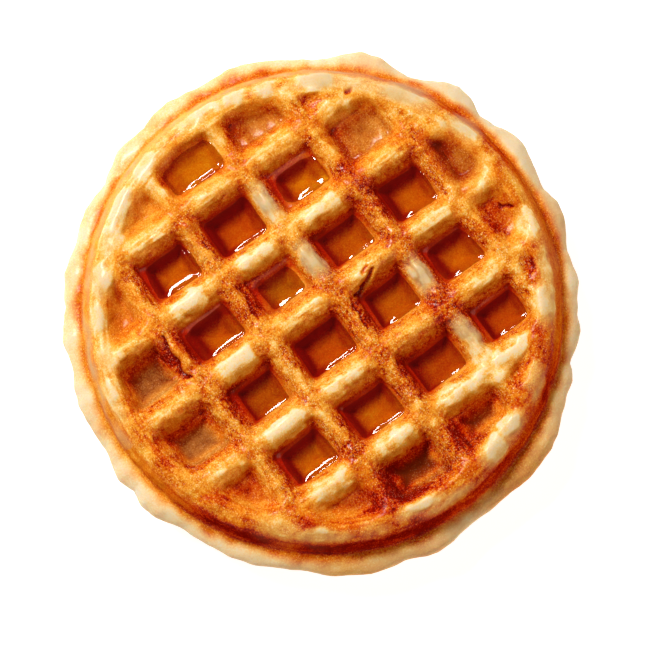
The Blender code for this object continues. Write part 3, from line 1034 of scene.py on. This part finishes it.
def syrup_material():
    """Clear syrup that refracts what is seen through it and lets coloured light down to the floor."""
    n = Nodes("syrup")
    dark = n.attribute("dark")
    tint = n.mix(dark, CLEAR_TINT, DARK_TINT)
    thin = n.mix(dark, CLEAR_LIGHT, DARK_LIGHT)
    glass = n.add(
        "ShaderNodeBsdfPrincipled",
        Base_Color=tint,
        Roughness=0.04,
        IOR=1.47,
        Transmission_Weight=1.0,
    )
    clear = n.add("ShaderNodeBsdfTransparent", Color=thin)
    path = n.add("ShaderNodeLightPath")
    through = n.math("MAXIMUM", path.outputs["Is Shadow Ray"], path.outputs["Is Diffuse Ray"])
    mixed = n.add("ShaderNodeMixShader")
    n.feed(mixed, "0", through)
    n.feed(mixed, "1", glass.outputs[0])
    n.feed(mixed, "2", clear.outputs[0])
    n.add("ShaderNodeOutputMaterial", Surface=mixed.outputs[0])
    return n.material


# ---------------------------------------------------------------- setting

def view_axes(azimuth, elevation):
    """The directions to the right, up and back of a view."""
    a, e = math.radians(azimuth), math.radians(elevation)
    back = Vector((math.sin(a) * math.cos(e), -math.cos(a) * math.cos(e), math.sin(e)))
    right = Vector((math.cos(a), math.sin(a), 0))
    return right, back.cross(right), back


def look_from(thing, target, azimuth, elevation, distance):
    """Places a thing at a distance from a target, facing it."""
    back = view_axes(azimuth, elevation)[2]
    thing.location = target + back * distance
    thing.rotation_mode = "QUATERNION"
    thing.rotation_quaternion = (-back).to_track_quat("-Z", "Y")


CAMERA_AZIMUTH, CAMERA_ELEVATION = -36.6, 80.0
CAMERA_DISTANCE = 0.62  # metres
VIEW_WIDTH = 0.1379  # metres, at the waffle
SENSOR_WIDTH = 36.0
AIM_RIGHT, AIM_DOWN = 0.55, 2.96  # how far the aim is from the waffle's middle

# Sizes and distances from here on are in metres.
FLOOR_HALF = 3.0
BACKGROUND = (0.95, 0.95, 0.95, 1)
LOW_SKY, HIGH_SKY = (0.22, 0.19, 0.16, 1), (0.06, 0.055, 0.05, 1)
LIGHTS_AIM = 0.01  # how high the lights' aim is over the floor
# Name, azimuth, elevation, distance, width, height, power and colour.
LIGHTS = (
    ("key", 190.0, 50.0, 1.0, 0.46, 0.22, 13.2, (1.0, 0.97, 0.92)),
    ("fill", 20.0, 38.0, 1.2, 1.0, 0.8, 5.0, (1.0, 0.84, 0.62)),
)


def add_camera():
    data = bpy.data.cameras.new("camera")
    data.sensor_width = SENSOR_WIDTH
    data.lens = SENSOR_WIDTH * CAMERA_DISTANCE / VIEW_WIDTH
    camera = bpy.data.objects.new("camera", data)
    bpy.context.collection.objects.link(camera)
    right, up, _ = view_axes(CAMERA_AZIMUTH, CAMERA_ELEVATION)
    middle = Vector((0.0, 0.0, THICKNESS / 2 * MM))
    target = middle + right * AIM_RIGHT * MM - up * AIM_DOWN * MM
    look_from(camera, target, CAMERA_AZIMUTH, CAMERA_ELEVATION, CAMERA_DISTANCE)
    bpy.context.scene.camera = camera


def add_light(name, azimuth, elevation, distance, width, height, power, colour):
    data = bpy.data.lights.new(name, "AREA")
    data.shape = "RECTANGLE"
    data.size = width
    data.size_y = height
    data.energy = power
    data.color = colour
    lamp = bpy.data.objects.new(name, data)
    bpy.context.collection.objects.link(lamp)
    look_from(lamp, Vector((0, 0, LIGHTS_AIM)), azimuth, elevation, distance)


def add_floor():
    mesh = bpy.data.meshes.new("floor")
    corners = [(FLOOR_HALF * a, FLOOR_HALF * b, 0) for a, b in ((-1, -1), (1, -1), (1, 1), (-1, 1))]
    mesh.from_pydata(corners, [], [(0, 1, 2, 3)])
    n = Nodes("floor")
    shader = n.add(
        "ShaderNodeBsdfPrincipled",
        Base_Color=(0.6, 0.6, 0.6, 1),
        Roughness=0.9,
        Emission_Color=(1, 1, 1, 1),
        Emission_Strength=0.85,
    )
    n.add("ShaderNodeOutputMaterial", Surface=shader.outputs[0])
    mesh.materials.append(n.material)
    floor = bpy.data.objects.new("floor", mesh)
    bpy.context.collection.objects.link(floor)


def add_world():
    """Dim warm light from below up to the horizon and dimmer from above. The camera sees it pale."""
    world = bpy.data.worlds.new("studio")
    world.use_nodes = True
    tree = world.node_tree
    where = tree.nodes.new("ShaderNodeTexCoord")
    parts = tree.nodes.new("ShaderNodeSeparateXYZ")
    shade = tree.nodes.new("ShaderNodeValToRGB")
    seen = tree.nodes.new("ShaderNodeLightPath")
    pick = tree.nodes.new("ShaderNodeMix")
    pick.data_type = "RGBA"
    tree.links.new(where.outputs["Generated"], parts.inputs[0])
    tree.links.new(parts.outputs["Z"], shade.inputs[0])
    tree.links.new(seen.outputs["Is Camera Ray"], pick.inputs[0])
    tree.links.new(shade.outputs["Color"], pick.inputs[6])
    pick.inputs[7].default_value = BACKGROUND
    tree.links.new(pick.outputs[2], tree.nodes["Background"].inputs["Color"])
    low, high = shade.color_ramp.elements
    low.position, low.color = 0.0, LOW_SKY
    high.position, high.color = 0.35, HIGH_SKY
    bpy.context.scene.world = world


def main():
    add_camera()
    add_floor()
    add_world()
    for light in LIGHTS:
        add_light(*light)
    bpy.context.scene.view_settings.view_transform = "Standard"
    axes, field = waffle_field()
    crust = add_crust(axes, field, crust_material())
    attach(crust, "root")
    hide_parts("waffle")
    syrup = add_syrup(axes, field, syrup_material())
    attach(syrup, "root")
    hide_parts(*["syrup_" + name for name in POOLS])


main()
